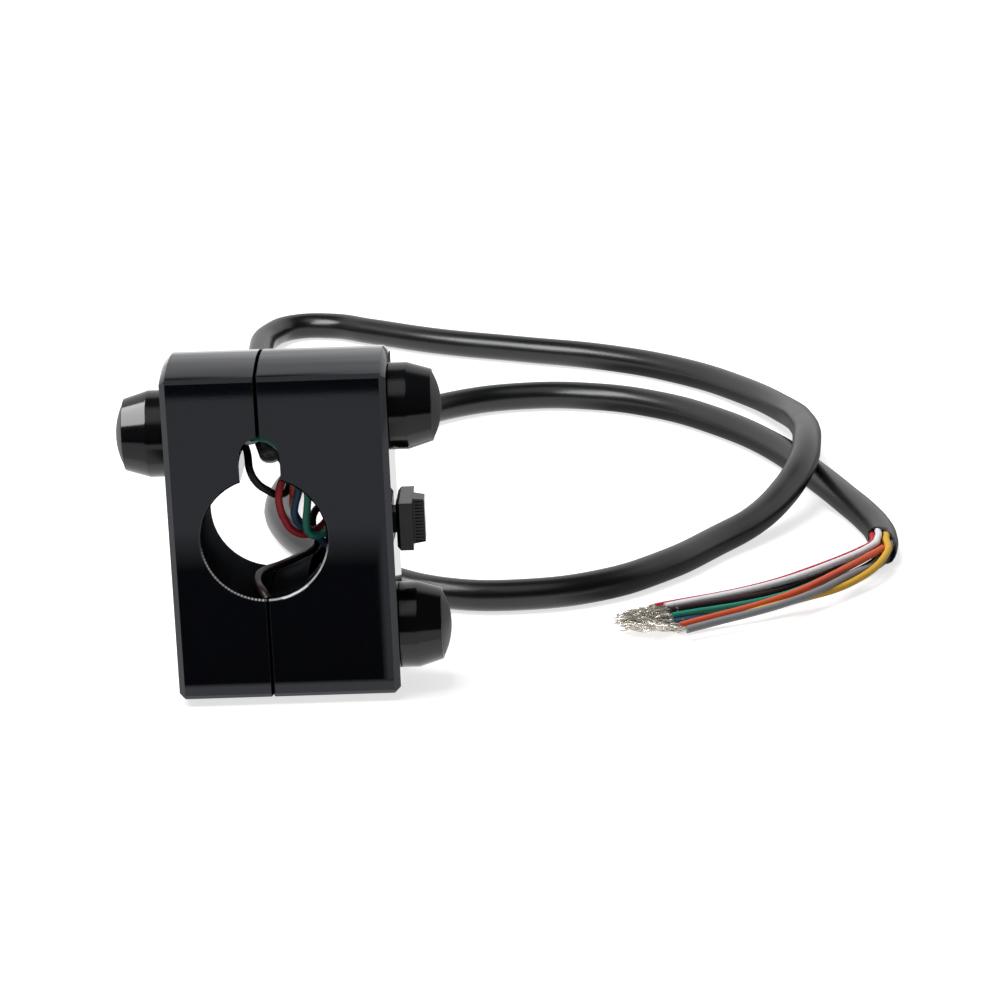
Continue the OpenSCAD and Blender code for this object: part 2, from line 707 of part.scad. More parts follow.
module inner_green() {
    inner_lead(3, packed(pack_r, 22.5), [
        [2.1, 1.2, slot_z + 0.2], [3.2, 0.3, slot_z - 1.4],
        round_bar(64, 0), round_bar(46, 0.7), round_bar(26, 1.2),
        [wire_x + 0.2, pin_side, slide_pin_z + 1.2], [pin_x, pin_side, slide_pin_z - 0.2]
    ]);
}
module inner_black() {
    inner_lead(4, packed(pack_r, 202.5), concat([
        [1.4 - slot_side, 1, slot_z - 0.6], [0.4 - slot_side, -0.9, rear_link_z - 0.5],
        [-0.6 - slot_side, -1.1, rear_link_z + 0.4]
    ], to_rear_pin(-terminal_y)));
}
module inner_blue() {
    inner_lead(5, packed(pack_r, 247.5), concat([
        [-0.3, 1.2, slot_z - 2.2], [1.2, -1.4, slot_z - 2.1],
        round_bar(66, -2), round_bar(46, -2.2), round_bar(25, -2.4),
        [wire_x, -2.4, 2], [wire_x, -2.4, 5 - cavity_z], round_bar(-32, -2),
        [drop_x0 + 1.4, -terminal_y, -cavity_z - 3],
        [drop_x0 + 0.9, -terminal_y, lower_z + 2.9], [turn_x, -terminal_y, lower_z + 0.7]
    ], to_front_pin(-terminal_y, lower_z)));
}
module inner_yellow() {
    inner_lead(6, packed(pack_r, 67.5), concat([
        in_link(2, 1.2, 0.2), in_link(front_wire_x - 2.75, 0.9, 0.2), in_link(front_wire_x + 0.55, 1, 0.6),
        [turn_x, 1.4, upper_z - 1.2]
    ], to_front_pin(terminal_y, upper_z)));
}
module inner_orange() {
    inner_lead(7, packed(pack_r, -67.5), [
        [1.5, 3, slot_z - 2.4], round_bar(66, 3.5), round_bar(50, 4.3), round_bar(25, 4.4),
        [wire_x + 0.1, 4.4, 3], [wire_x + 0.1, 4.4, 0], [wire_x + 0.3, 2.6, -1.8],
        [pin_x, pin_side, -slide_pin_z]
    ]);
}
module inner_grey() {
    inner_lead(8, packed(pack_r, 112.5), concat([
        in_link(-0.6, 1, -0.1), in_link(0.6, -0.8, 0), in_link(2.2, -0.9, 0.1),
        in_link(front_wire_x - 2.75, -0.9, 0.1), in_link(front_wire_x + 0.55, -1, 0.5),
        [turn_x, -1.4, upper_z - 1.2]
    ], to_front_pin(-terminal_y, upper_z)));
}

rear_housing();
front_housing();
clamp_screws();
upper_bezel();
upper_cap();
upper_spring();
upper_contact();
upper_contact_base();
upper_terminals();
lower_bezel();
lower_cap();
lower_spring();
lower_contact();
lower_contact_base();
lower_terminals();
rear_bezel();
rear_cap();
rear_spring();
rear_contact();
rear_contact_base();
rear_terminals();
slide_cap();
slide_actuator();
slide_wiper();
slide_frame();
slide_base();
slide_terminals();
slide_screws();
cable_sleeve();
lead_red();
lead_white();
lead_maroon();
lead_green();
lead_black();
lead_blue();
lead_yellow();
lead_orange();
lead_grey();
stripped_ends();
inner_red();
inner_white();
inner_maroon();
inner_green();
inner_black();
inner_blue();
inner_yellow();
inner_orange();
inner_grey();
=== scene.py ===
import math
import random

import bmesh
import bpy
from mathutils import Matrix, Vector, geometry, noise


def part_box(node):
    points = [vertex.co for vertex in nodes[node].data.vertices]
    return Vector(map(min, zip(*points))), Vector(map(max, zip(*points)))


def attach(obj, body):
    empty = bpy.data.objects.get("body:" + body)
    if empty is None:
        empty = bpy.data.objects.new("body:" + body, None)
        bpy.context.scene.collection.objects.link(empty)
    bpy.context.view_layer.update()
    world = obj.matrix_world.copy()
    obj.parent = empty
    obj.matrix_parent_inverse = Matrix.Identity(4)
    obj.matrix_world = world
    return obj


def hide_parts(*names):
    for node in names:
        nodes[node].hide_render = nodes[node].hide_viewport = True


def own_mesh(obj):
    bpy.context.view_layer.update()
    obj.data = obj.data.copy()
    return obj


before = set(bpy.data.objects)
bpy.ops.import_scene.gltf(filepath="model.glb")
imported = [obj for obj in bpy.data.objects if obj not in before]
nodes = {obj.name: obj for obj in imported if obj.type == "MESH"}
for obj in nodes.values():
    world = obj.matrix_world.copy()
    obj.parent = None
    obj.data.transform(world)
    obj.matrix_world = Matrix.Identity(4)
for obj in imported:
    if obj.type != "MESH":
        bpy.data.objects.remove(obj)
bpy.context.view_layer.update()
mm = 0.001
waveStep = 0.314  # metres between the bands of a wave texture at scale 1
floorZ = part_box("front_housing")[0].z  # the housing stands on its crowned bottom


# Small helpers

def point(x, y, z):
    return Vector((x, y, z)) * mm


def hexLinear(code):
    parts = [int(code[i:i + 2], 16) / 255 for i in (1, 3, 5)]
    return [c / 12.92 if c <= 0.04045 else ((c + 0.055) / 1.055) ** 2.4 for c in parts] + [1]


def addNode(tree, kind, inputs=None, **settings):
    made = tree.nodes.new("ShaderNode" + kind)
    for name, value in settings.items():
        setattr(made, name, value)
    for socket, value in (inputs or {}).items():
        if isinstance(value, bpy.types.NodeSocket):
            tree.links.new(value, made.inputs[socket])
        else:
            made.inputs[socket].default_value = value
    return made


def newMaterial(name):
    material = bpy.data.materials.new(name)
    material.use_nodes = True
    tree = material.node_tree
    tree.nodes.clear()
    shader = addNode(tree, "BsdfPrincipled")
    addNode(tree, "OutputMaterial", {"Surface": shader.outputs[0]})
    coords = addNode(tree, "TexCoord").outputs["Object"]
    return material, tree, shader, coords


def perMetre(sizeMm):
    return 1 / (sizeMm * mm)  # texture scale whose grain is about this size


def placeObject(name, data, material, body, replaced):
    piece = bpy.data.objects.new(name, data)
    bpy.context.scene.collection.objects.link(piece)
    data.materials.append(material)
    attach(piece, body)
    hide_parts(*replaced)
    return piece


def meshPiece(name, bm, material, body, replaced, smoothAngle=30):
    mesh = bpy.data.meshes.new(name)
    bm.to_mesh(mesh)
    bm.free()
    mesh.shade_smooth()
    mesh.set_sharp_from_angle(angle=math.radians(smoothAngle))
    return placeObject(name, mesh, material, body, replaced)


def bezierCurve(name, points, radius, sides, steps):
    curve = bpy.data.curves.new(name, "CURVE")
    curve.dimensions = "3D"
    curve.bevel_depth = radius
    curve.bevel_resolution = sides
    curve.resolution_u = steps
    curve.use_fill_caps = True
    spline = curve.splines.new("BEZIER")
    spline.bezier_points.add(len(points) - 1)
    for knot, place in zip(spline.bezier_points, points):
        knot.co = place
        knot.handle_left_type = knot.handle_right_type = "AUTO"
    return curve


def followCurve(curve, steps):
    knots = curve.splines[0].bezier_points
    line = []
    for a, b in zip(knots[:-1], knots[1:]):
        line += geometry.interpolate_bezier(a.co, a.handle_right, b.handle_left, b.co, steps + 1)[:-1]
    return line + [knots[-1].co.copy()]


def lineLength(line):
    return sum((b - a).length for a, b in zip(line[:-1], line[1:]))


# Camera: the fit to the two rims of the bore and the housing's edges in the photo

cameraFit = {
    "yaw": -1.991, "pitch": 17.221, "roll": -2.49,   # degrees
    "boreCentre": (-41.541, 702.098, -6.926),        # mm in camera axes, on the near face
    "nearFaceY": -10,                                # mm
    "focalPixels": 4000, "imagePixels": 1001,
    "sensor": 36,
}


def makeCamera(fit):
    turn = (Matrix.Rotation(math.radians(fit["roll"]), 3, "Y")
            @ Matrix.Rotation(math.radians(fit["pitch"]), 3, "X")
            @ Matrix.Rotation(math.radians(fit["yaw"]), 3, "Z"))
    eye = Vector((0, fit["nearFaceY"], 0)) - turn.transposed() @ Vector(fit["boreCentre"])
    right, forward, up = turn.row[0], turn.row[1], turn.row[2]
    lens = bpy.data.cameras.new("photoCamera")
    lens.sensor_width = fit["sensor"]
    lens.lens = fit["focalPixels"] / fit["imagePixels"] * fit["sensor"]
    lens.clip_start, lens.clip_end = 0.01, 20
    camera = bpy.data.objects.new("photoCamera", lens)
    bpy.context.scene.collection.objects.link(camera)
    axes = Matrix((right, up, -forward)).transposed()
    camera.matrix_world = Matrix.Translation(eye * mm) @ axes.to_4x4()
    bpy.context.scene.camera = camera


makeCamera(cameraFit)
print("camera set")


# Materials

def blackAnodised():
    # Black anodised aluminium, milled and sealed: deep black with a clear, slightly cold gloss on the
    # flats. The bar bore and the split are rough, and are painted as a near-black metal that gives back
    # almost
    # nothing: painted shade. The lower rim's chamfer is painted near-white as a painted highlight, with
    # tool marks on its left.
    boreRadius, reliefRadius, reliefX = 11.16, 15.1, 3.7  # mm
    rimRadius, rimDepth, split = 11.38, 9.6, 0.33         # mm
    # painted highlight: below these heights the rim's chamfer is painted near-white
    glintFrom, glintFull = -1, -4                           # mm over the bar's axis
    toolMarks = 110                                       # per turn
    material, tree, shader, coords = newMaterial("blackAnodisedAluminium")
    shader.inputs["IOR"].default_value = 1.5
    shader.inputs["Specular Tint"].default_value = hexLinear("#e9edf6")
    axis = addNode(tree, "SeparateXYZ", {0: coords})
    flat = addNode(tree, "CombineXYZ", {0: axis.outputs[0], 2: axis.outputs[2]})
    radius = addNode(tree, "VectorMath", {0: flat.outputs[0]}, operation="LENGTH").outputs["Value"]
    side = addNode(tree, "Math", {0: axis.outputs[1]}, operation="ABSOLUTE")
    deep = addNode(tree, "Math", {0: side.outputs[0], 1: rimDepth * mm}, operation="LESS_THAN")
    bored = addNode(tree, "Math", {0: radius, 1: boreRadius * mm}, operation="LESS_THAN")
    wide = addNode(tree, "Math", {0: radius, 1: reliefRadius * mm}, operation="LESS_THAN")
    front = addNode(tree, "Math", {0: axis.outputs[0], 1: reliefX * mm}, operation="GREATER_THAN")
    relief = addNode(tree, "Math", {0: wide.outputs[0], 1: front.outputs[0]}, operation="MULTIPLY")
    hollow = addNode(tree, "Math", {0: bored.outputs[0], 1: relief.outputs[0]}, operation="MAXIMUM")
    cavity = addNode(tree, "Math", {0: deep.outputs[0], 1: hollow.outputs[0]}, operation="MULTIPLY")
    across = addNode(tree, "Math", {0: axis.outputs[0]}, operation="ABSOLUTE")
    parting = addNode(tree, "Math", {0: across.outputs[0], 1: split * mm}, operation="LESS_THAN")
    inside = addNode(tree, "Math", {0: cavity.outputs[0], 1: parting.outputs[0]}, operation="MAXIMUM")
    # painted shade: the inside is made a near-black metal so that it gives back next to nothing, as if in
    # shadow
    tree.links.new(inside.outputs[0], shader.inputs["Metallic"])
    nearBore = addNode(tree, "Math", {0: radius, 1: rimRadius * mm}, operation="LESS_THAN")
    shallow = addNode(tree, "Math", {0: 1, 1: deep.outputs[0]}, operation="SUBTRACT")
    rim = addNode(tree, "Math", {0: nearBore.outputs[0], 1: shallow.outputs[0]}, operation="MULTIPLY")
    low = addNode(tree, "MapRange", {0: axis.outputs[2], 1: glintFrom * mm, 2: glintFull * mm})
    angle = addNode(tree, "Math", {0: axis.outputs[2], 1: axis.outputs[0]}, operation="ARCTAN2")
    turns = addNode(tree, "Math", {0: angle.outputs[0], 1: toolMarks}, operation="MULTIPLY")
    ticks = addNode(tree, "Math", {0: turns.outputs[0]}, operation="SINE")
    mark = addNode(tree, "MapRange", {0: ticks.outputs[0], 1: -0.4, 2: 0.4, 3: 0.12, 4: 1})
    leftSide = addNode(tree, "MapRange", {0: axis.outputs[0], 1: -1 * mm, 2: 1 * mm})
    bright = addNode(tree, "Math", {0: mark.outputs[0], 1: leftSide.outputs[0]}, operation="MAXIMUM")
    # painted highlight: the lower rim's chamfer is painted near-white, in full on the right and broken into
    # tool-mark ticks on the left
    glintBand = addNode(tree, "Math", {0: rim.outputs[0], 1: low.outputs[0]}, operation="MULTIPLY")
    paintedGlint = addNode(tree, "Math", {0: glintBand.outputs[0], 1: bright.outputs[0]}, operation="MULTIPLY")
    dust = addNode(tree, "TexVoronoi", {"Vector": coords, "Scale": perMetre(2.4)})
    speck = addNode(tree, "MapRange", {0: dust.outputs["Distance"], 1: 0.05, 2: 0.02, 3: 0, 4: 0.2})
    dye = addNode(tree, "Mix", {0: speck.outputs[0], 6: hexLinear("#101116"), 7: hexLinear("#3c3d40")},
                  data_type="RGBA")
    # painted shade: inside the bore, the relief and the split, the dye gives way to near-black
    dyeWithPaintedShade = addNode(tree, "Mix", {0: inside.outputs[0], 6: dye.outputs[2], 7: hexLinear("#040405")},
                   data_type="RGBA")
    colour = addNode(tree, "Mix", {0: paintedGlint.outputs[0], 6: dyeWithPaintedShade.outputs[2], 7: hexLinear("#d6d8da")},
                     data_type="RGBA")
    tree.links.new(colour.outputs[2], shader.inputs["Base Color"])
    cloud = addNode(tree, "TexNoise", {"Vector": coords, "Scale": perMetre(6), "Detail": 3})
    gloss = addNode(tree, "MapRange", {0: cloud.outputs[0], 3: 0.02, 4: 0.05})
    dull = addNode(tree, "Mix", {0: inside.outputs[0], 2: gloss.outputs[0], 3: 0.35}, data_type="FLOAT")
    tree.links.new(dull.outputs[0], shader.inputs["Roughness"])
    milled = addNode(tree, "TexNoise", {"Vector": coords, "Scale": perMetre(0.3), "Detail": 2})
    skin = addNode(tree, "Bump", {"Strength": 0.012, "Distance": 0.05 * mm, "Height": milled.outputs[0]})
    ringStep = 0.7  # mm, twice the real feed so that it holds up in a small picture
    rings = addNode(tree, "TexWave", {"Vector": coords, "Scale": waveStep / (ringStep * mm)},
                    bands_direction="Y", wave_profile="SAW")
    cutDepth = addNode(tree, "Math", {0: rings.outputs[1], 1: inside.outputs[0]}, operation="MULTIPLY")
    turned = addNode(tree, "Bump", {"Strength": 1, "Distance": 0.4 * mm, "Height": cutDepth.outputs[0],
                                    "Normal": skin.outputs[0]})
    tree.links.new(turned.outputs[0], shader.inputs["Normal"])
    return material


def turnedBezel():
    # Black anodised aluminium turned on a lathe: glossier than the block, with faint rings round the axis.
    material, tree, shader, coords = newMaterial("turnedBlackAnodised")
    shader.inputs["IOR"].default_value = 1.5
    cloud = addNode(tree, "TexNoise", {"Vector": coords, "Scale": perMetre(3), "Detail": 3})
    tone = addNode(tree, "Mix", {0: cloud.outputs[0], 6: hexLinear("#0b0c0e"), 7: hexLinear("#101113")},
                   data_type="RGBA")
    tree.links.new(tone.outputs[2], shader.inputs["Base Color"])
    gloss = addNode(tree, "MapRange", {0: cloud.outputs[0], 3: 0.09, 4: 0.17})
    tree.links.new(gloss.outputs[0], shader.inputs["Roughness"])
    ringStep = 0.25  # mm, coarser than a real fine cut so that it shows
    rings = addNode(tree, "TexWave", {"Vector": coords, "Scale": waveStep / (ringStep * mm)},
                    bands_direction="X")
    bump = addNode(tree, "Bump", {"Strength": 0.02, "Distance": 0.02 * mm, "Height": rings.outputs[0]})
    tree.links.new(bump.outputs[0], shader.inputs["Normal"])
    return material


def mouldedPlastic(name, dark, pale, roughness, grainMm, depth):
    # Moulded plastic: an even colour broken by a fine spark-eroded grain that softens the highlight.
    material, tree, shader, coords = newMaterial(name)
    shader.inputs["IOR"].default_value = 1.5
    cloud = addNode(tree, "TexNoise", {"Vector": coords, "Scale": perMetre(4), "Detail": 4})
    tone = addNode(tree, "Mix", {0: cloud.outputs[0], 6: hexLinear(dark), 7: hexLinear(pale)},
                   data_type="RGBA")
    tree.links.new(tone.outputs[2], shader.inputs["Base Color"])
    matt = addNode(tree, "MapRange", {0: cloud.outputs[0], 3: roughness - 0.05, 4: roughness + 0.05})
    tree.links.new(matt.outputs[0], shader.inputs["Roughness"])
    grain = addNode(tree, "TexNoise", {"Vector": coords, "Scale": perMetre(grainMm), "Detail": 2})
    bump = addNode(tree, "Bump", {"Strength": 0.12, "Distance": depth * mm, "Height": grain.outputs[0]})
    tree.links.new(bump.outputs[0], shader.inputs["Normal"])
    return material


def sleevePvc():
    # Soft black PVC sleeve, extruded: satin, a little uneven under the hand, with dull dusty patches.
    material, tree, shader, coords = newMaterial("softBlackPvc")
    shader.inputs["IOR"].default_value = 1.5
    cloud = addNode(tree, "TexNoise", {"Vector": coords, "Scale": perMetre(9), "Detail": 4})
    tone = addNode(tree, "Mix", {0: cloud.outputs[0], 6: hexLinear("#0b0c0e"), 7: hexLinear("#131416")},
                   data_type="RGBA")
    shutEnd = 1.2  # mm along Y: up to here it is the shut end, which is paler
    depth = addNode(tree, "SeparateXYZ", {0: coords}).outputs[1]
    drawn = addNode(tree, "Math", {0: depth, 1: shutEnd * mm}, operation="LESS_THAN")
    colour = addNode(tree, "Mix", {0: drawn.outputs[0], 6: tone.outputs[2], 7: hexLinear("#4a4b4e")},
                     data_type="RGBA")
    tree.links.new(colour.outputs[2], shader.inputs["Base Color"])
    shader.inputs["Specular IOR Level"].default_value = 0.65
    satin = addNode(tree, "MapRange", {0: cloud.outputs[0], 3: 0.24, 4: 0.34})
    tree.links.new(satin.outputs[0], shader.inputs["Roughness"])
    skin = addNode(tree, "TexNoise", {"Vector": coords, "Scale": perMetre(0.5), "Detail": 2})
    bump = addNode(tree, "Bump", {"Strength": 0.06, "Distance": 0.06 * mm, "Height": skin.outputs[0]})
    tree.links.new(bump.outputs[0], shader.inputs["Normal"])
    return material


def wirePvc(name, code):
    # Thin PVC insulation: strong colour, a soft gloss line along the top, slightly uneven dye.
    material, tree, shader, coords = newMaterial(name)
    shader.inputs["IOR"].default_value = 1.5
    shade = 0.86  # how dark the deeper streaks of the dye are
    base = hexLinear(code)
    deep = [c * shade for c in base[:3]] + [1]
    cloud = addNode(tree, "TexNoise", {"Vector": coords, "Scale": perMetre(2.5), "Detail": 3})
    tone = addNode(tree, "Mix", {0: cloud.outputs[0], 6: deep, 7: base}, data_type="RGBA")
    tree.links.new(tone.outputs[2], shader.inputs["Base Color"])
    satin = addNode(tree, "MapRange", {0: cloud.outputs[0], 3: 0.42, 4: 0.54})
    tree.links.new(satin.outputs[0], shader.inputs["Roughness"])
    skin = addNode(tree, "TexNoise", {"Vector": coords, "Scale": perMetre(0.3), "Detail": 1})
    bump = addNode(tree, "Bump", {"Strength": 0.05, "Distance": 0.03 * mm, "Height": skin.outputs[0]})
    tree.links.new(bump.outputs[0], shader.inputs["Normal"])
    return material


def plainMetal(name, dark, pale, roughness):
    # Drawn or stamped metal: full metal colour, cloudy between two tones where the plating varies.
    material, tree, shader, coords = newMaterial(name)
    shader.inputs["Metallic"].default_value = 1
    cloud = addNode(tree, "TexNoise", {"Vector": coords, "Scale": perMetre(1.2), "Detail": 4})
    tone = addNode(tree, "Mix", {0: cloud.outputs[0], 6: hexLinear(dark), 7: hexLinear(pale)},
                   data_type="RGBA")
    tree.links.new(tone.outputs[2], shader.inputs["Base Color"])
    wear = addNode(tree, "MapRange", {0: cloud.outputs[0], 3: roughness - 0.08, 4: roughness + 0.08})
    tree.links.new(wear.outputs[0], shader.inputs["Roughness"])
    return material


wireColours = {
    "red": "#b3202a", "white": "#e6e9ee", "maroon": "#2e1618", "green": "#14806a", "black": "#17181b",
    "blue": "#27486c", "yellow": "#dba92a", "orange": "#d4552f", "grey": "#85868a",
}
anodised = blackAnodised()
bezelBlack = turnedBezel()
capPlastic = mouldedPlastic("satinCapPlastic", "#37373a", "#3f4043", 0.5, 0.22, 0.03)
slidePlastic = mouldedPlastic("satinSlidePlastic", "#0c0d0f", "#121315", 0.2, 0.25, 0.03)
innerPlastic = mouldedPlastic("blackInsulator", "#231f1c", "#2d2926", 0.5, 0.3, 0.03)
laminate = mouldedPlastic("brownLaminate", "#5c3d20", "#6e4c2a", 0.55, 0.35, 0.04)
sleeveBlack = sleevePvc()
tinned = plainMetal("tinnedCopper", "#d2cabb", "#fbf8f2", 0.24)
brass = plainMetal("contactBrass", "#b08a3a", "#c9a552", 0.3)
zinc = plainMetal("zincPlatedSteel", "#9a9ea4", "#b9bdc2", 0.34)
blackSteel = plainMetal("blackOxideSteel", "#222326", "#303134", 0.42)
wires = {name: wirePvc("pvc" + name.capitalize(), code) for name, code in wireColours.items()}
print("materials:", len(bpy.data.materials))


# Cable: the sleeve, then the nine leads out of its mouth and their stripped ends

sleeve = {
    "diameter": 6, "wall": 0.4,            # mm
    # in the slot: x, y, z and the share of the radius
    "inSlot": [(1.1, 0.6, 12.4, 0.68), (0.6, 4, 14, 0.86), (0.1, 9, 15, 1)],
    # outside: x, y and the height of the underside over the floor
    "laid": [
        (0, 30, 41.8), (-1, 60, 36.8), (-4, 90, 27.8), (-8, 120, 16.8), (-12, 150, 7), (-15, 178, 1.2),
        (-18, 204, 0), (-20.5, 223, 0), (-19.5, 235.5, 0), (-14.5, 243, 0), (-5, 243, 0), (4, 237, 0),
        (20, 226, 0), (40, 216, 0), (60, 206, 0), (77, 192, 0), (90, 173, 0.4), (98, 152, 1.8),
        (101, 131, 4.6), (101, 112, 6.4), (99, 97, 5.6), (95, 87, 3.2), (89, 77, 1), (81, 67, 0),
        (70, 52, 0), (58, 42, 0), (44, 38, 0), (30, 40, 0), (16, 51, 0), (3, 68, 0),
        (-5, 86, 0), (-7, 104, 0), (-3, 124, 0), (5, 143, 0), (15, 160, 0), (28, 172, 0),
        (42, 176, 0), (56, 174, 0), (70, 166, 0), (84, 150, 0), (95, 130, 0), (102, 110, 0),
        (107.3, 92.7, 0), (111, 79.5, 0), (112.9, 69.6, 0), (113, 61, 0),
    ],
    "dent": 0.05, "dentSize": 14,          # mm: how deep and how long the soft wall gives
    "mouth": (113, 61), "pastMouth": (112.3, 57),
    "slant": (0.4, 1.13, 0.6),             # the cut: mm past the mouth, lean to the right, lean backwards
    "cutReach": 12, "endReach": 4,         # mm: what the cut may touch, and what counts as the shut end
    "endDome": [(0.85, 0.4), (0.6, 0.4), (0.4, 0.15)],  # steps of the shut end: shrink, and mm onwards
}


def closeEnd(bm, spec, start):
    # the sleeve's end in the slot is drawn shut to a shallow dome
    reach = spec["endReach"] * mm
    ring = [e for e in bm.edges if e.is_boundary and (e.verts[0].co - start).length < reach]
    for shrink, push in spec["endDome"]:
        grown = bmesh.ops.extrude_edge_only(bm, edges=ring)["geom"]
        tips = [v for v in grown if isinstance(v, bmesh.types.BMVert)]
        ring = [e for e in grown if isinstance(e, bmesh.types.BMEdge) and e.is_boundary]
        middle = sum((v.co for v in tips), Vector()) / len(tips)
        bmesh.ops.scale(bm, vec=(shrink, shrink, shrink), space=Matrix.Translation(-middle), verts=tips)
        bmesh.ops.translate(bm, vec=(0, -push * mm, 0), verts=tips)
    bmesh.ops.holes_fill(bm, edges=ring)


def cutMouth(bm, spec):
    tip = Vector((spec["mouth"][0] * mm, spec["mouth"][1] * mm, floorZ + spec["diameter"] / 2 * mm))
    end = Vector((spec["pastMouth"][0] * mm, spec["pastMouth"][1] * mm, tip.z))
    along = (end - tip).normalized()
    right = along.cross(Vector((0, 0, 1)))
    if right.x < 0:
        right.negate()
    ahead, lean, back = spec["slant"]
    near = [f for f in bm.faces if (f.calc_center_median() - tip).length < spec["cutReach"] * mm]
    edges = list({e for f in near for e in f.edges})
    verts = list({v for f in near for v in f.verts})
    bmesh.ops.bisect_plane(bm, geom=verts + edges + near, dist=1e-7, plane_co=tip + along * ahead * mm,
                           plane_no=along - right * lean + Vector((0, 0, back)), clear_outer=True)


def makeSleeve(spec):
    radius = spec["diameter"] / 2 * mm
    route = [point(*p[:3]) for p in spec["inSlot"]]
    route += [Vector((x * mm, y * mm, floorZ + radius + up * mm)) for x, y, up in spec["laid"]]
    route.append(Vector((spec["pastMouth"][0] * mm, spec["pastMouth"][1] * mm, floorZ + radius)))
    curve = bezierCurve("sleeveLine", route, radius, 6, 8)
    curve.use_fill_caps = False
    for knot, place in zip(curve.splines[0].bezier_points, spec["inSlot"]):
        knot.radius = place[3]
    carrier = bpy.data.objects.new("sleeveLine", curve)
    bpy.context.scene.collection.objects.link(carrier)
    bpy.context.view_layer.update()
    line = followCurve(curve, 8)
    mesh = bpy.data.meshes.new_from_object(carrier.evaluated_get(bpy.context.evaluated_depsgraph_get()))
    bpy.data.objects.remove(carrier)
    bm = bmesh.new()
    bm.from_mesh(mesh)
    bpy.data.meshes.remove(mesh)
    bmesh.ops.remove_doubles(bm, verts=bm.verts, dist=0.001 * mm)
    for v in bm.verts:
        give = noise.noise(v.co / (spec["dentSize"] * mm)) * spec["dent"] * mm
        v.co += v.normal * min(give, 0)
        v.co.z = max(v.co.z, floorZ)
    cutMouth(bm, spec)
    closeEnd(bm, spec, route[0])
    bmesh.ops.recalc_face_normals(bm, faces=bm.faces)
    piece = meshPiece("cableSleeve", bm, sleeveBlack, "housing", ["cable_sleeve"], 60)
    wall = piece.modifiers.new("wall", "SOLIDIFY")
    wall.thickness = spec["wall"] * mm
    wall.offset = -1
    print("sleeve: %.0f mm" % (lineLength(line) / mm))


leads = {
    "diameter": 1.4,
    "line": [(113.05, 67.2), (113, 61), (112.75, 59.5), (111.88, 54.3), (103.3, 43.4), (91.7, 34.4),
             (70.6, 25.5)],
    "spread": {  # beside the line and over the floor: at the mouth, then at each later point of the line
        "red": [(-1.94, 3.8), (-3.5, 4), (-5.4, 3.4), (-6.5, 2.5), (-5.6, 2.2)],
        "white": [(-0.8, 4.94), (-1.3, 5.1), (-3, 4.2), (-3.7, 3.4), (-0.8, 3.7)],
        "maroon": [(-1.94, 2.2), (-4.4, 1.9), (-4.8, 2.1), (-3.2, 2.2), (0.9, 3.5)],
        "green": [(0.8, 1.06), (-2, 3), (-1.9, 2.4), (0.1, 2.2), (2.2, 2.7)],
        "black": [(-0.8, 1.06), (-1.9, 1.2), (-2.4, 1), (-2.7, 0.9), (2.6, 0.7)],
        "blue": [(1.94, 2.2), (-0.3, 1.1), (-0.9, 0.8), (-1.2, 0.8), (3.5, 1.9)],
        "yellow": [(0.8, 4.94), (1.75, 4.25), (4.1, 2.7), (4.7, 2.6), (4.4, 0.85)],
        "orange": [(0, 3), (0.3, 4.4), (0.8, 4.1), (3, 3.2), (5.9, 2)],
        "grey": [(1.94, 3.8), (0.6, 2.7), (2.7, 3.5), (6.4, 3.4), (8.8, 2.1)],
    },
    "inMouth": 0.86,   # how far the leads draw together inside the sleeve
}
strands = {
    "count": 17, "diameter": 0.21, "bundle": 0.42, "twist": 420,   # mm and degrees
    "start": (72.2, 26.18), "tip": (61.2, 21.6),                  # the line they lie along
    "gather": (-1.3, 1.5),                                        # beside it and over the floor, at the tip
    "core": 4, "coreShare": 0.4,                                  # inner strands, share of the bundle
    "reach": (0.55, 1), "looseFrom": 0.2,                         # shares of the length
    "fray": 0.9, "wave": 0.62, "beats": (6, 15), "steps": 20, "seed": 11,
}


def lineSides(line):
    sides = []
    for i in range(len(line)):
        a, b = Vector(line[max(i - 1, 0)]), Vector(line[min(i + 1, len(line) - 1)])
        along = (b - a).normalized()
        sides.append(Vector((-along.y, along.x)))
    return sides


def leadRoute(spec, keys):
    route = []
    for i, (at, side) in enumerate(zip(spec["line"], lineSides(spec["line"]))):
        off = Vector(keys[max(0, i - 2)])
        if i == 0:  # inside the sleeve, drawn in towards its middle
            off = Vector((0, sleeve["diameter"] / 2)).lerp(off, spec["inMouth"])
        spot = Vector(at) + off[0] * side
        route.append(Vector((spot.x * mm, spot.y * mm, floorZ + off[1] * mm)))
    return route


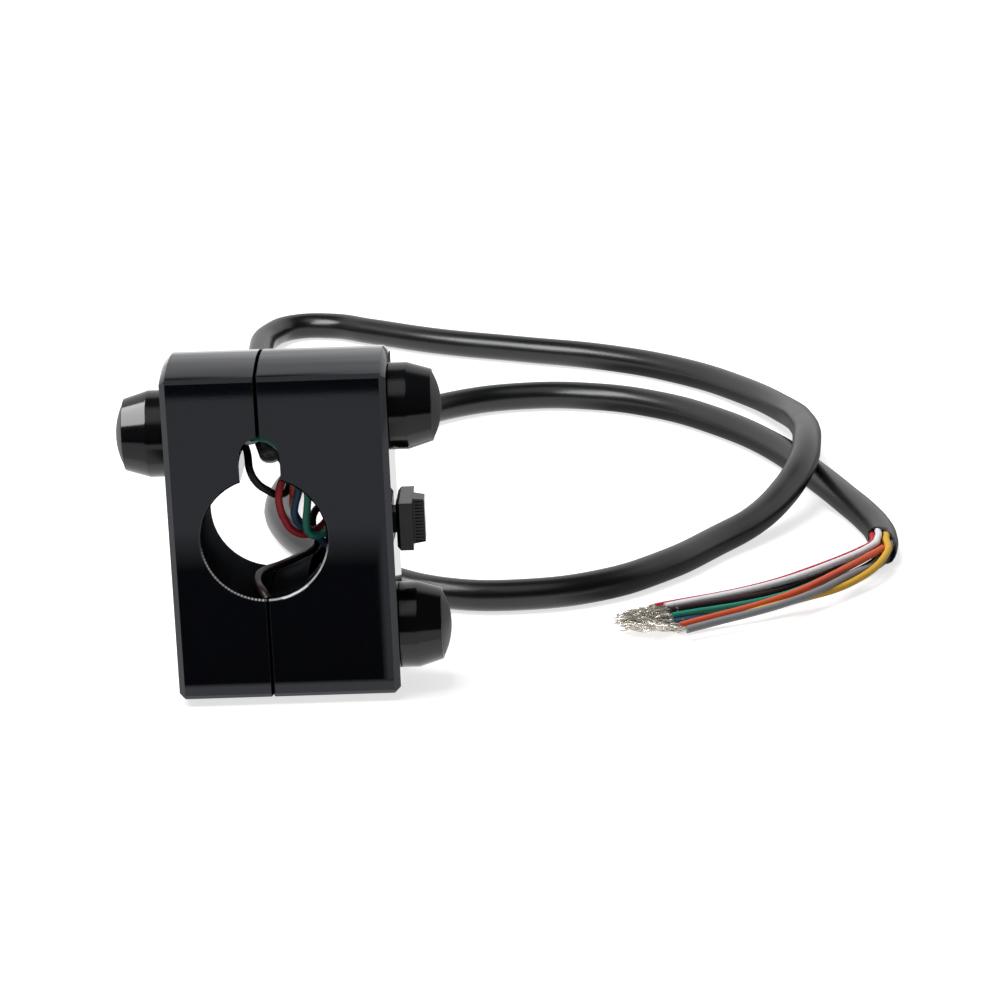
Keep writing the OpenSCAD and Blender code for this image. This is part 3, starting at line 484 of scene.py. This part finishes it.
def makeStrands(name, keys, draw):
    curve = bpy.data.curves.new("strands" + name, "CURVE")
    curve.dimensions = "3D"
    curve.bevel_depth = strands["diameter"] / 2 * mm
    curve.bevel_resolution = 1
    curve.use_fill_caps = True
    start, tip = Vector(strands["start"]), Vector(strands["tip"])
    along = (tip - start).normalized()
    side = Vector((-along.y, along.x))
    end, gather = Vector(keys[-1]), Vector(strands["gather"])
    steps, beatRange = strands["steps"], strands["beats"]
    for k in range(strands["count"]):
        ring = strands["bundle"] * (strands["coreShare"] if k < strands["core"] else 1)
        first = draw.uniform(0, math.tau)
        turn = math.radians(strands["twist"]) * draw.uniform(0.7, 1.3)
        reach = draw.uniform(*strands["reach"])
        drift = Vector((draw.gauss(0, strands["fray"]), abs(draw.gauss(0, strands["fray"])) * 0.7))
        beats = [draw.uniform(*beatRange) for way in range(2)]
        shifts = [draw.uniform(0, 6) for way in range(2)]
        spline = curve.splines.new("POLY")
        spline.points.add(steps)
        for i in range(steps + 1):
            f = i / steps
            loose = max(0, f - strands["looseFrom"])
            angle = first + turn * f
            off = end.lerp(gather, 0.8 * (f * reach) ** 1.4) + drift * loose
            off += ring * Vector((math.cos(angle), math.sin(angle)))
            off += strands["wave"] * loose * Vector([math.sin(b * f + h) for b, h in zip(beats, shifts)])
            spot = start.lerp(tip, f * reach) + off.x * side
            over = max(off.y, strands["diameter"] * 0.6)
            spline.points[i].co = (spot.x * mm, spot.y * mm, floorZ + over * mm, 1)
    return placeObject("strands" + name, curve, tinned, "housing", ["stripped_ends"])


def makeLeads(spec):
    draw = random.Random(strands["seed"])
    for colour, keys in spec["spread"].items():
        name = colour.capitalize()
        curve = bezierCurve("lead" + name, leadRoute(spec, keys), spec["diameter"] / 2 * mm, 3, 10)
        piece = placeObject("lead" + name, curve, wires[colour], "housing",
                            ["lead_" + colour])
        bpy.context.view_layer.update()
        ends = makeStrands(name, keys, draw)
        lineLength(followCurve(curve, 10))
    print("leads:", len(spec["spread"]))


makeSleeve(sleeve)
makeLeads(leads)


# Leads inside the housing: slack from the sleeve's end through slot and bore to the terminals

innerLeads = {  # x, y and z in mm
    "red": [(1.8, 6, 13.4), (3.9, 3, 12.7), (4.6, 0, 11.5), (4.2, -2.6, 10.1), (3.1, -4.1, 8.5),
            (2.6, -4.5, 6.6), (2.6, -4.3, 4.5), (3.3, -3.5, 1.5), (4.7, -2.5, -0.9),
            (6.9, -1.5, -1.9), (9.2, 0.4, -1.2), (11.6, 1.9, 0.2), (12.9, 1.25, -0.4)],
    "white": [(-0.9, 4, 15.6), (-1.5, 0.2, 15.5), (-2.6, -1.4, 15.7), (-3.9, -1.2, 16.2),
              (-5, -0.2, 16.5), (-5.7, 1.6, 17.2)],
    "black": [(1.2, 4, 13.2), (2.3, 1.8, 12.2), (3.9, 1, 9), (3.9, 0, 6.2), (2.4, -1.8, 5.7),
              (0.5, -3.4, 7.1), (-1.2, -4.8, 9.1), (-2.2, -5, 11.4), (-2.5, -3.6, 13.2),
              (-2.9, -1.8, 14.3), (-3.7, -0.3, 15.2), (-5.1, -0.8, 16.6), (-5.7, -1.6, 17.2)],
    "green": [(-0.6, 4, 16.4), (-1.8, 0, 16.6), (-1.6, -3, 16.7), (-0.2, -4.3, 17.1),
              (1.6, -4.8, 16.7), (4.5, -5, 13.8), (6.7, -5.1, 10.4), (7.7, -5, 7), (7.5, -5, 3.9),
              (7.2, -5, 1.5), (7.5, -4.8, -0.4), (9, -4.4, -1.3), (11.3, -2.9, 0.2),
              (12.6, -0.4, 2), (12.9, 1.25, 2.8)],
    "orange": [(0.5, 4, 13), (3.3, 2.4, 12.2), (4.9, -0.8, 10.6), (5.2, -2, 7.8), (4.8, -1.5, 5),
               (4.7, -0.7, 3), (5.3, 0.1, 0.4), (7.5, 1.1, -2), (10.5, 2.2, -3.2),
               (12.9, 1.25, -3)],
    "grey": [(-1.3, 4, 14.6), (-0.8, 1.4, 16.4), (0.6, -0.8, 17), (2.2, -0.9, 17.1),
             (5, -0.9, 17.1), (8.3, -1, 17.5), (9.6, -1.4, 19.6), (10.4, -1.6, 20.8),
             (11.6, -1.6, 20.8)],
    "blue": [(0.9, 4, 16.2), (2.4, 0.8, 15), (4.8, -2.2, 12.6), (6.4, -3, 9.6), (6, -3.1, 6.6),
             (5.2, -3.1, 4), (5, -3, 2.2), (5.6, -2.5, 0.5), (7.2, -1.6, -1), (10.4, -0.6, -4.4),
             (12.3, -1.4, -6), (12, -1.6, -9), (11, -1.6, -13), (10.3, -1.6, -17.5),
             (11.6, -1.6, -19.9)],
    "yellow": [(0.2, 4, 16.6), (1.2, 2.4, 17), (3, 1, 17.2), (5, 0.9, 17.2), (8.3, 1, 17.6),
               (9.6, 1.4, 19.6), (10.4, 1.6, 20.8), (11.6, 1.6, 20.8)],
    "maroon": [(0.4, 5, 13.4), (3.6, 4.6, 12), (7.5, 4.5, 11), (11.2, 4.5, 7), (11.4, 4.2, 4.2),
               (10, 3.8, 2.3), (8.2, 3.8, 0.8), (7.5, 4.4, -1.8), (8.1, 5.6, -4.8),
               (7.1, 7.4, -7.4), (4.6, 7.8, -8.9), (1.1, 7.2, -10.2), (-1.4, 4.4, -10.2),
               (-2.4, 0, -10), (-2, -4, -10.2), (-0.8, -7.8, -10.4), (0, -9, -11.3)],
}


def makeInnerLeads(routes):
    for colour, route in routes.items():
        curve = bezierCurve("inner" + colour.capitalize(), [point(*p) for p in route],
                            leads["diameter"] / 2 * mm, 3, 8)
        placeObject(curve.name, curve, wires[colour], "housing", ["inner_" + colour])
    print("inner leads:", len(routes))


makeInnerLeads(innerLeads)


# Push buttons: bezel and cap are spun, the return spring is a screw spin

button = {  # mm along the button's axis, 0 at the housing face, + out of it
    "bezelRadius": 7.7, "collar": 3.2, "rim": 7.6, "rimRadius": 6.35, "bore": 6, "shoulder": 3,
    "stubRadius": 7.1, "stub": -4, "counterbore": 6.5, "bezelEdge": 0.16,
    "capRadius": 5.9, "dome": 1.5, "domeSteps": 16, "flangeRadius": 6.4, "flange": (1.6, 2.9),
    "hollowRadius": 5, "hollow": 5.3,
    "stemRadius": 1.5, "stem": -3.2, "capEdge": 0.22,
    "springRadius": 4.2, "springWire": 0.6, "springFrom": -3.78, "springTo": 4.98, "springTurns": 5,
    "wireSides": 10, "stepsPerTurn": 32,
    "travel": 1.5, "steps": 128,
}


def spinProfile(outline, steps, closed):
    bm = bmesh.new()
    corners = [bm.verts.new((r * mm, 0, u * mm)) for r, u in outline]
    pairs = list(zip(corners[:-1], corners[1:]))
    if closed:
        pairs.append((corners[-1], corners[0]))
    edges = [bm.edges.new(pair) for pair in pairs]
    bmesh.ops.spin(bm, geom=corners + edges, cent=(0, 0, 0), axis=(0, 0, 1), angle=math.tau, steps=steps,
                   use_merge=True)
    bmesh.ops.remove_doubles(bm, verts=bm.verts, dist=0.001 * mm)
    bmesh.ops.recalc_face_normals(bm, faces=bm.faces)
    return bm


def softenEdges(bm, width, fromAngle, segments=3):
    sharp = [e for e in bm.edges if e.is_manifold and e.calc_face_angle(0) > math.radians(fromAngle)]
    bmesh.ops.bevel(bm, geom=sharp, offset=width * mm, affect="EDGES", segments=segments, profile=0.5,
                    material=-1, clamp_overlap=True)


def bezelShape(spec):
    bm = spinProfile([
        (spec["bore"], spec["rim"]), (spec["rimRadius"], spec["rim"]),
        (spec["bezelRadius"], spec["collar"]), (spec["bezelRadius"], 0),
        (spec["stubRadius"], 0), (spec["stubRadius"], spec["stub"]),
        (spec["counterbore"], spec["stub"]), (spec["counterbore"], spec["shoulder"]),
        (spec["bore"], spec["shoulder"]),
    ], spec["steps"], True)
    softenEdges(bm, spec["bezelEdge"], 12)
    return bm


def capShape(spec):
    low, high = spec["flange"]
    domeRadius = (spec["capRadius"] ** 2 + spec["dome"] ** 2) / (2 * spec["dome"])
    half = math.asin(spec["capRadius"] / domeRadius)
    crest = spec["rim"] + spec["dome"]
    steps = spec["domeSteps"]
    arc = [(domeRadius * math.sin(half * i / steps), crest - domeRadius * (1 - math.cos(half * i / steps)))
           for i in range(steps + 1)]
    bm = spinProfile(arc + [
        (spec["capRadius"], high), (spec["flangeRadius"], high), (spec["flangeRadius"], low),
        (spec["hollowRadius"], low), (spec["hollowRadius"], spec["hollow"]),
        (spec["stemRadius"], spec["hollow"]), (spec["stemRadius"], spec["stem"]), (0, spec["stem"]),
    ], spec["steps"], False)
    softenEdges(bm, spec["capEdge"], 20)
    return bm


def springShape(spec):
    bm = bmesh.new()
    ring = bmesh.ops.create_circle(bm, segments=spec["wireSides"],
                                    radius=spec["springWire"] / 2 * mm)["verts"]
    stand = Matrix.Translation(point(spec["springRadius"], 0, spec["springFrom"])) @ Matrix.Rotation(
        math.pi / 2, 4, "X")
    bmesh.ops.transform(bm, matrix=stand, verts=ring)
    steps = spec["springTurns"] * spec["stepsPerTurn"]
    rise = (spec["springTo"] - spec["springFrom"]) / steps
    bmesh.ops.spin(bm, geom=bm.verts[:] + bm.edges[:], cent=(0, 0, 0), axis=(0, 0, 1),
                   dvec=point(0, 0, rise), angle=math.tau * spec["springTurns"], steps=steps)
    bmesh.ops.remove_doubles(bm, verts=bm.verts, dist=0.001 * mm)
    bmesh.ops.holes_fill(bm, edges=[e for e in bm.edges if e.is_boundary])
    bmesh.ops.recalc_face_normals(bm, faces=bm.faces)
    return bm


def makeButton(name, spec):
    bezelLow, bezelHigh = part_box(name + "_bezel")
    middle = (bezelLow + bezelHigh) / 2
    out = -1 if name == "rear" else 1
    rimAt = bezelLow.x if out < 0 else bezelHigh.x
    face = rimAt - out * spec["rim"] * mm
    stand = Matrix.Translation((face, middle.y, middle.z)) @ Matrix.Rotation(out * math.pi / 2, 4, "Y")
    title = name.capitalize()
    for part, shape, material, body, slot in (
            ("bezel", bezelShape, bezelBlack, "housing", "black_bezel"),
            ("cap", capShape, capPlastic, name + "_button", "cap_plastic"),
            ("spring", springShape, zinc, "housing", "plated_steel")):
        bm = shape(spec)
        bmesh.ops.transform(bm, matrix=stand, verts=bm.verts)
        piece = meshPiece(part + title, bm, material, body, [name + "_" + part])
        if part != "spring":  # flats stay flat between their softened edges
            even = piece.modifiers.new("even", "WEIGHTED_NORMAL")
            even.keep_sharp = True
            even.weight = 100
        else:  # the spring gets a mesh of its own
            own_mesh(piece)


for buttonName in ("upper", "lower", "rear"):
    makeButton(buttonName, button)
print("buttons made")


# CAD nodes that stay: their own finish, and edges broken by a hair so that they catch light

keptNodes = {
    "rear_housing": anodised, "front_housing": anodised, "clamp_screws": blackSteel,
    "slide_cap": slidePlastic, "slide_actuator": innerPlastic, "slide_wiper": brass,
    "slide_frame": zinc, "slide_base": laminate, "slide_terminals": brass, "slide_screws": zinc,
}
for buttonName in ("upper", "lower", "rear"):
    keptNodes[buttonName + "_contact"] = brass
    keptNodes[buttonName + "_contact_base"] = innerPlastic
    keptNodes[buttonName + "_terminals"] = brass
edgeBreak = {"rear_housing": 0.1, "front_housing": 0.1, "clamp_screws": 0.12, "slide_cap": 0.12}  # mm


def dressNode(name, material):
    node = nodes[name]
    node.data.materials.clear()
    node.data.materials.append(material)
    if name in edgeBreak:
        weld = node.modifiers.new("weld", "WELD")
        weld.merge_threshold = 0.002 * mm
        broken = node.modifiers.new("edges", "BEVEL")
        broken.width = edgeBreak[name] * mm
        broken.segments = 2
        broken.limit_method = "ANGLE"
        broken.angle_limit = math.radians(25)
        broken.harden_normals = True


for nodeName, finish in keptNodes.items():
    dressNode(nodeName, finish)
print("nodes dressed:", len(keptNodes))


# Studio: pale floor, white backdrop, a soft top light and a softbox on the left

studio = {
    "floorSize": 6, "floorGlow": 0.7, "floorPaint": "#c8c8c8",
    # how bright the gloss sees the sheets and the table; places in metres
    "underSheet": 1.1, "frontSheet": 0.72, "table": 0.28,
    "sheetEnds": (-0.021, -0.088, -0.114, -0.214),    # along Y: one ends, the other starts, fills, ends
    "gapSides": ((-0.0187, 0.127), (0.0209, 0.067)),  # the gap before the face: along X at Y 0, and lean
    "tableFrom": (0.03, 0.055),                       # along Y and X: past both the table is bare
    "softEdges": (0.001, 0.005, 0.0006, 0.002),       # half widths: under sheet, table, gap, far end
    "sweepFrom": (-0.25, 0.2), "sweepTop": (0.86, 0.74),  # the backdrop fades in along Y, out along Z
    "roofWay": (-0.08, -0.4, 0.91), "roofEdge": (0.88, 0.97), "roofGlow": (0.03, 0.95),
    "ambient": (0.23, 0.46), "ambientEdge": (-0.3, 0.3),  # from the front, from behind, and the change
    "keyPower": 17, "keySize": (0.9, 0.9), "keyPlace": (-0.35, 0.1, 1.1), "keyAim": (0.03, 0.08, 0),
    "boxPower": 3.3, "boxSize": (0.267, 0.43), "boxPlace": (-0.263, -0.065, 0.3),
    "boxAim": (-0.263, -0.065, 0),
}


def makeFloor(spec):
    bm = bmesh.new()
    bmesh.ops.create_grid(bm, x_segments=1, y_segments=1, size=spec["floorSize"] / 2)
    bmesh.ops.translate(bm, vec=(0, 0, floorZ), verts=bm.verts)
    mesh = bpy.data.meshes.new("floor")
    bm.to_mesh(mesh)
    bm.free()
    floor = bpy.data.objects.new("floor", mesh)
    bpy.context.scene.collection.objects.link(floor)
    paint = bpy.data.materials.new("paleFloor")
    paint.use_nodes = True
    tree = paint.node_tree
    tree.nodes.clear()
    seen = addNode(tree, "LightPath")
    direct = addNode(tree, "Math", {0: seen.outputs["Is Camera Ray"],
                                    1: seen.outputs["Is Transmission Ray"]}, operation="MAXIMUM")
    level = addNode(tree, "Math", {0: direct.outputs[0], 1: spec["floorGlow"]}, operation="MULTIPLY")
    glow = addNode(tree, "Emission", {"Strength": level.outputs[0]})
    matt = addNode(tree, "BsdfDiffuse", {"Color": hexLinear(spec["floorPaint"])})
    shown = addNode(tree, "AddShader", {0: glow.outputs[0], 1: matt.outputs[0]})
    # Reflections meet a dim table with two white sheets: one under the object, one in front of it
    spot = addNode(tree, "SeparateXYZ", {0: addNode(tree, "TexCoord").outputs["Object"]})
    across, along = spot.outputs[0], spot.outputs[1]
    end, start, full, far = spec["sheetEnds"]
    bareY, bareX = spec["tableFrom"]
    underEdge, tableEdge, gapEdge, farEdge = spec["softEdges"]
    under = addNode(tree, "MapRange", {0: along, 1: end - underEdge, 2: end + underEdge})
    close = addNode(tree, "MapRange", {0: along, 1: bareY + tableEdge, 2: bareY - tableEdge})
    beside = addNode(tree, "MapRange", {0: across, 1: bareX + tableEdge, 2: bareX - tableEdge})
    covered = addNode(tree, "Math", {0: close.outputs[0], 1: beside.outputs[0]}, operation="MAXIMUM")
    below = addNode(tree, "MapRange", {0: covered.outputs[0], 3: spec["table"], 4: spec["underSheet"]})
    lower = addNode(tree, "Math", {0: below.outputs[0], 1: under.outputs[0]}, operation="MULTIPLY")
    rise = addNode(tree, "MapRange", {0: along, 1: start, 2: full})
    skewed = []
    for place, lean in spec["gapSides"]:
        shift = addNode(tree, "Math", {0: along, 1: -lean, 2: across}, operation="MULTIPLY_ADD")
        way = math.copysign(gapEdge, place)
        skewed.append(addNode(tree, "MapRange", {0: shift.outputs[0], 1: place - way, 2: place + way}))
    pastLeft, pastRight = skewed
    aside = addNode(tree, "Math", {0: pastLeft.outputs[0], 1: pastRight.outputs[0]}, operation="MAXIMUM")
    spread = addNode(tree, "Math", {0: rise.outputs[0], 1: aside.outputs[0]}, operation="MAXIMUM")
    stop = addNode(tree, "MapRange", {0: along, 1: far - farEdge, 2: far + farEdge})
    ahead = addNode(tree, "MapRange", {0: along, 1: end + underEdge, 2: end - underEdge})
    shut = addNode(tree, "Math", {0: stop.outputs[0], 1: ahead.outputs[0]}, operation="MULTIPLY")
    lit = addNode(tree, "Math", {0: spread.outputs[0], 1: shut.outputs[0]}, operation="MULTIPLY")
    front = addNode(tree, "Math", {0: lit.outputs[0], 1: spec["frontSheet"]}, operation="MULTIPLY")
    sheets = addNode(tree, "Math", {0: lower.outputs[0], 1: front.outputs[0]}, operation="MAXIMUM")
    mirrored = addNode(tree, "Emission", {"Strength": sheets.outputs[0]})
    both = addNode(tree, "MixShader", {0: seen.outputs["Is Glossy Ray"], 1: shown.outputs[0],
                                       2: mirrored.outputs[0]})
    addNode(tree, "OutputMaterial", {"Surface": both.outputs[0]})
    mesh.materials.append(paint)


def makeWorld(spec):
    world = bpy.data.worlds.new("studio")
    bpy.context.scene.world = world
    world.use_nodes = True
    tree = world.node_tree
    tree.nodes.clear()
    seen = addNode(tree, "LightPath")
    heading = addNode(tree, "TexCoord").outputs["Generated"]
    way = addNode(tree, "SeparateXYZ", {0: heading})
    # Reflections meet a white backdrop behind the object and a dim room over it and in front
    (backFrom, backFull), (topFrom, topFull) = spec["sweepFrom"], spec["sweepTop"]
    back = addNode(tree, "MapRange", {0: way.outputs[1], 1: backFrom, 2: backFull})
    low = addNode(tree, "MapRange", {0: way.outputs[2], 1: topFrom, 2: topFull})
    sweep = addNode(tree, "Math", {0: back.outputs[0], 1: low.outputs[0]}, operation="MULTIPLY")
    aloft = addNode(tree, "VectorMath", {0: heading, 1: spec["roofWay"]}, operation="DOT_PRODUCT")
    (edge, inner), (dim, glow) = spec["roofEdge"], spec["roofGlow"]
    roof = addNode(tree, "MapRange", {0: aloft.outputs["Value"], 1: edge, 2: inner, 3: dim, 4: glow})
    room = addNode(tree, "Math", {0: sweep.outputs[0], 1: roof.outputs[0]}, operation="MAXIMUM")
    mirrored = addNode(tree, "Math", {0: seen.outputs["Is Glossy Ray"], 1: room.outputs[0]},
                       operation="MULTIPLY")
    direct = addNode(tree, "Math", {0: seen.outputs["Is Camera Ray"],
                                    1: seen.outputs["Is Transmission Ray"]}, operation="MAXIMUM")
    shown = addNode(tree, "Math", {0: direct.outputs[0], 1: mirrored.outputs[0]}, operation="MAXIMUM")
    (front, rear), (near, far) = spec["ambient"], spec["ambientEdge"]
    soft = addNode(tree, "MapRange", {0: way.outputs[1], 1: near, 2: far, 3: front, 4: rear})
    fill = addNode(tree, "Math", {0: seen.outputs["Is Diffuse Ray"], 1: soft.outputs[0]},
                   operation="MULTIPLY")
    level = addNode(tree, "Math", {0: shown.outputs[0], 1: fill.outputs[0]}, operation="MAXIMUM")
    sky = addNode(tree, "Background", {"Strength": level.outputs[0]})
    addNode(tree, "OutputWorld", {"Surface": sky.outputs[0]})


def makeLights(spec):
    for name, key in (("topLight", "key"), ("gloss", "box")):
        lamp = bpy.data.lights.new(name, "AREA")
        lamp.shape = "RECTANGLE"
        lamp.energy = spec[key + "Power"]
        lamp.size, lamp.size_y = spec[key + "Size"]
        light = bpy.data.objects.new(name, lamp)
        bpy.context.scene.collection.objects.link(light)
        light.location = spec[key + "Place"]
        aim = Vector(spec[key + "Aim"]) - light.location
        light.rotation_euler = aim.to_track_quat("-Z", "Y").to_euler()
        light.visible_camera = False
        light.visible_glossy = name == "gloss"
        light.visible_diffuse = name != "gloss"  # the box on the left only shows in the black gloss


makeFloor(studio)
makeWorld(studio)
makeLights(studio)
bpy.context.scene.view_settings.view_transform = "Standard"
print("studio set")
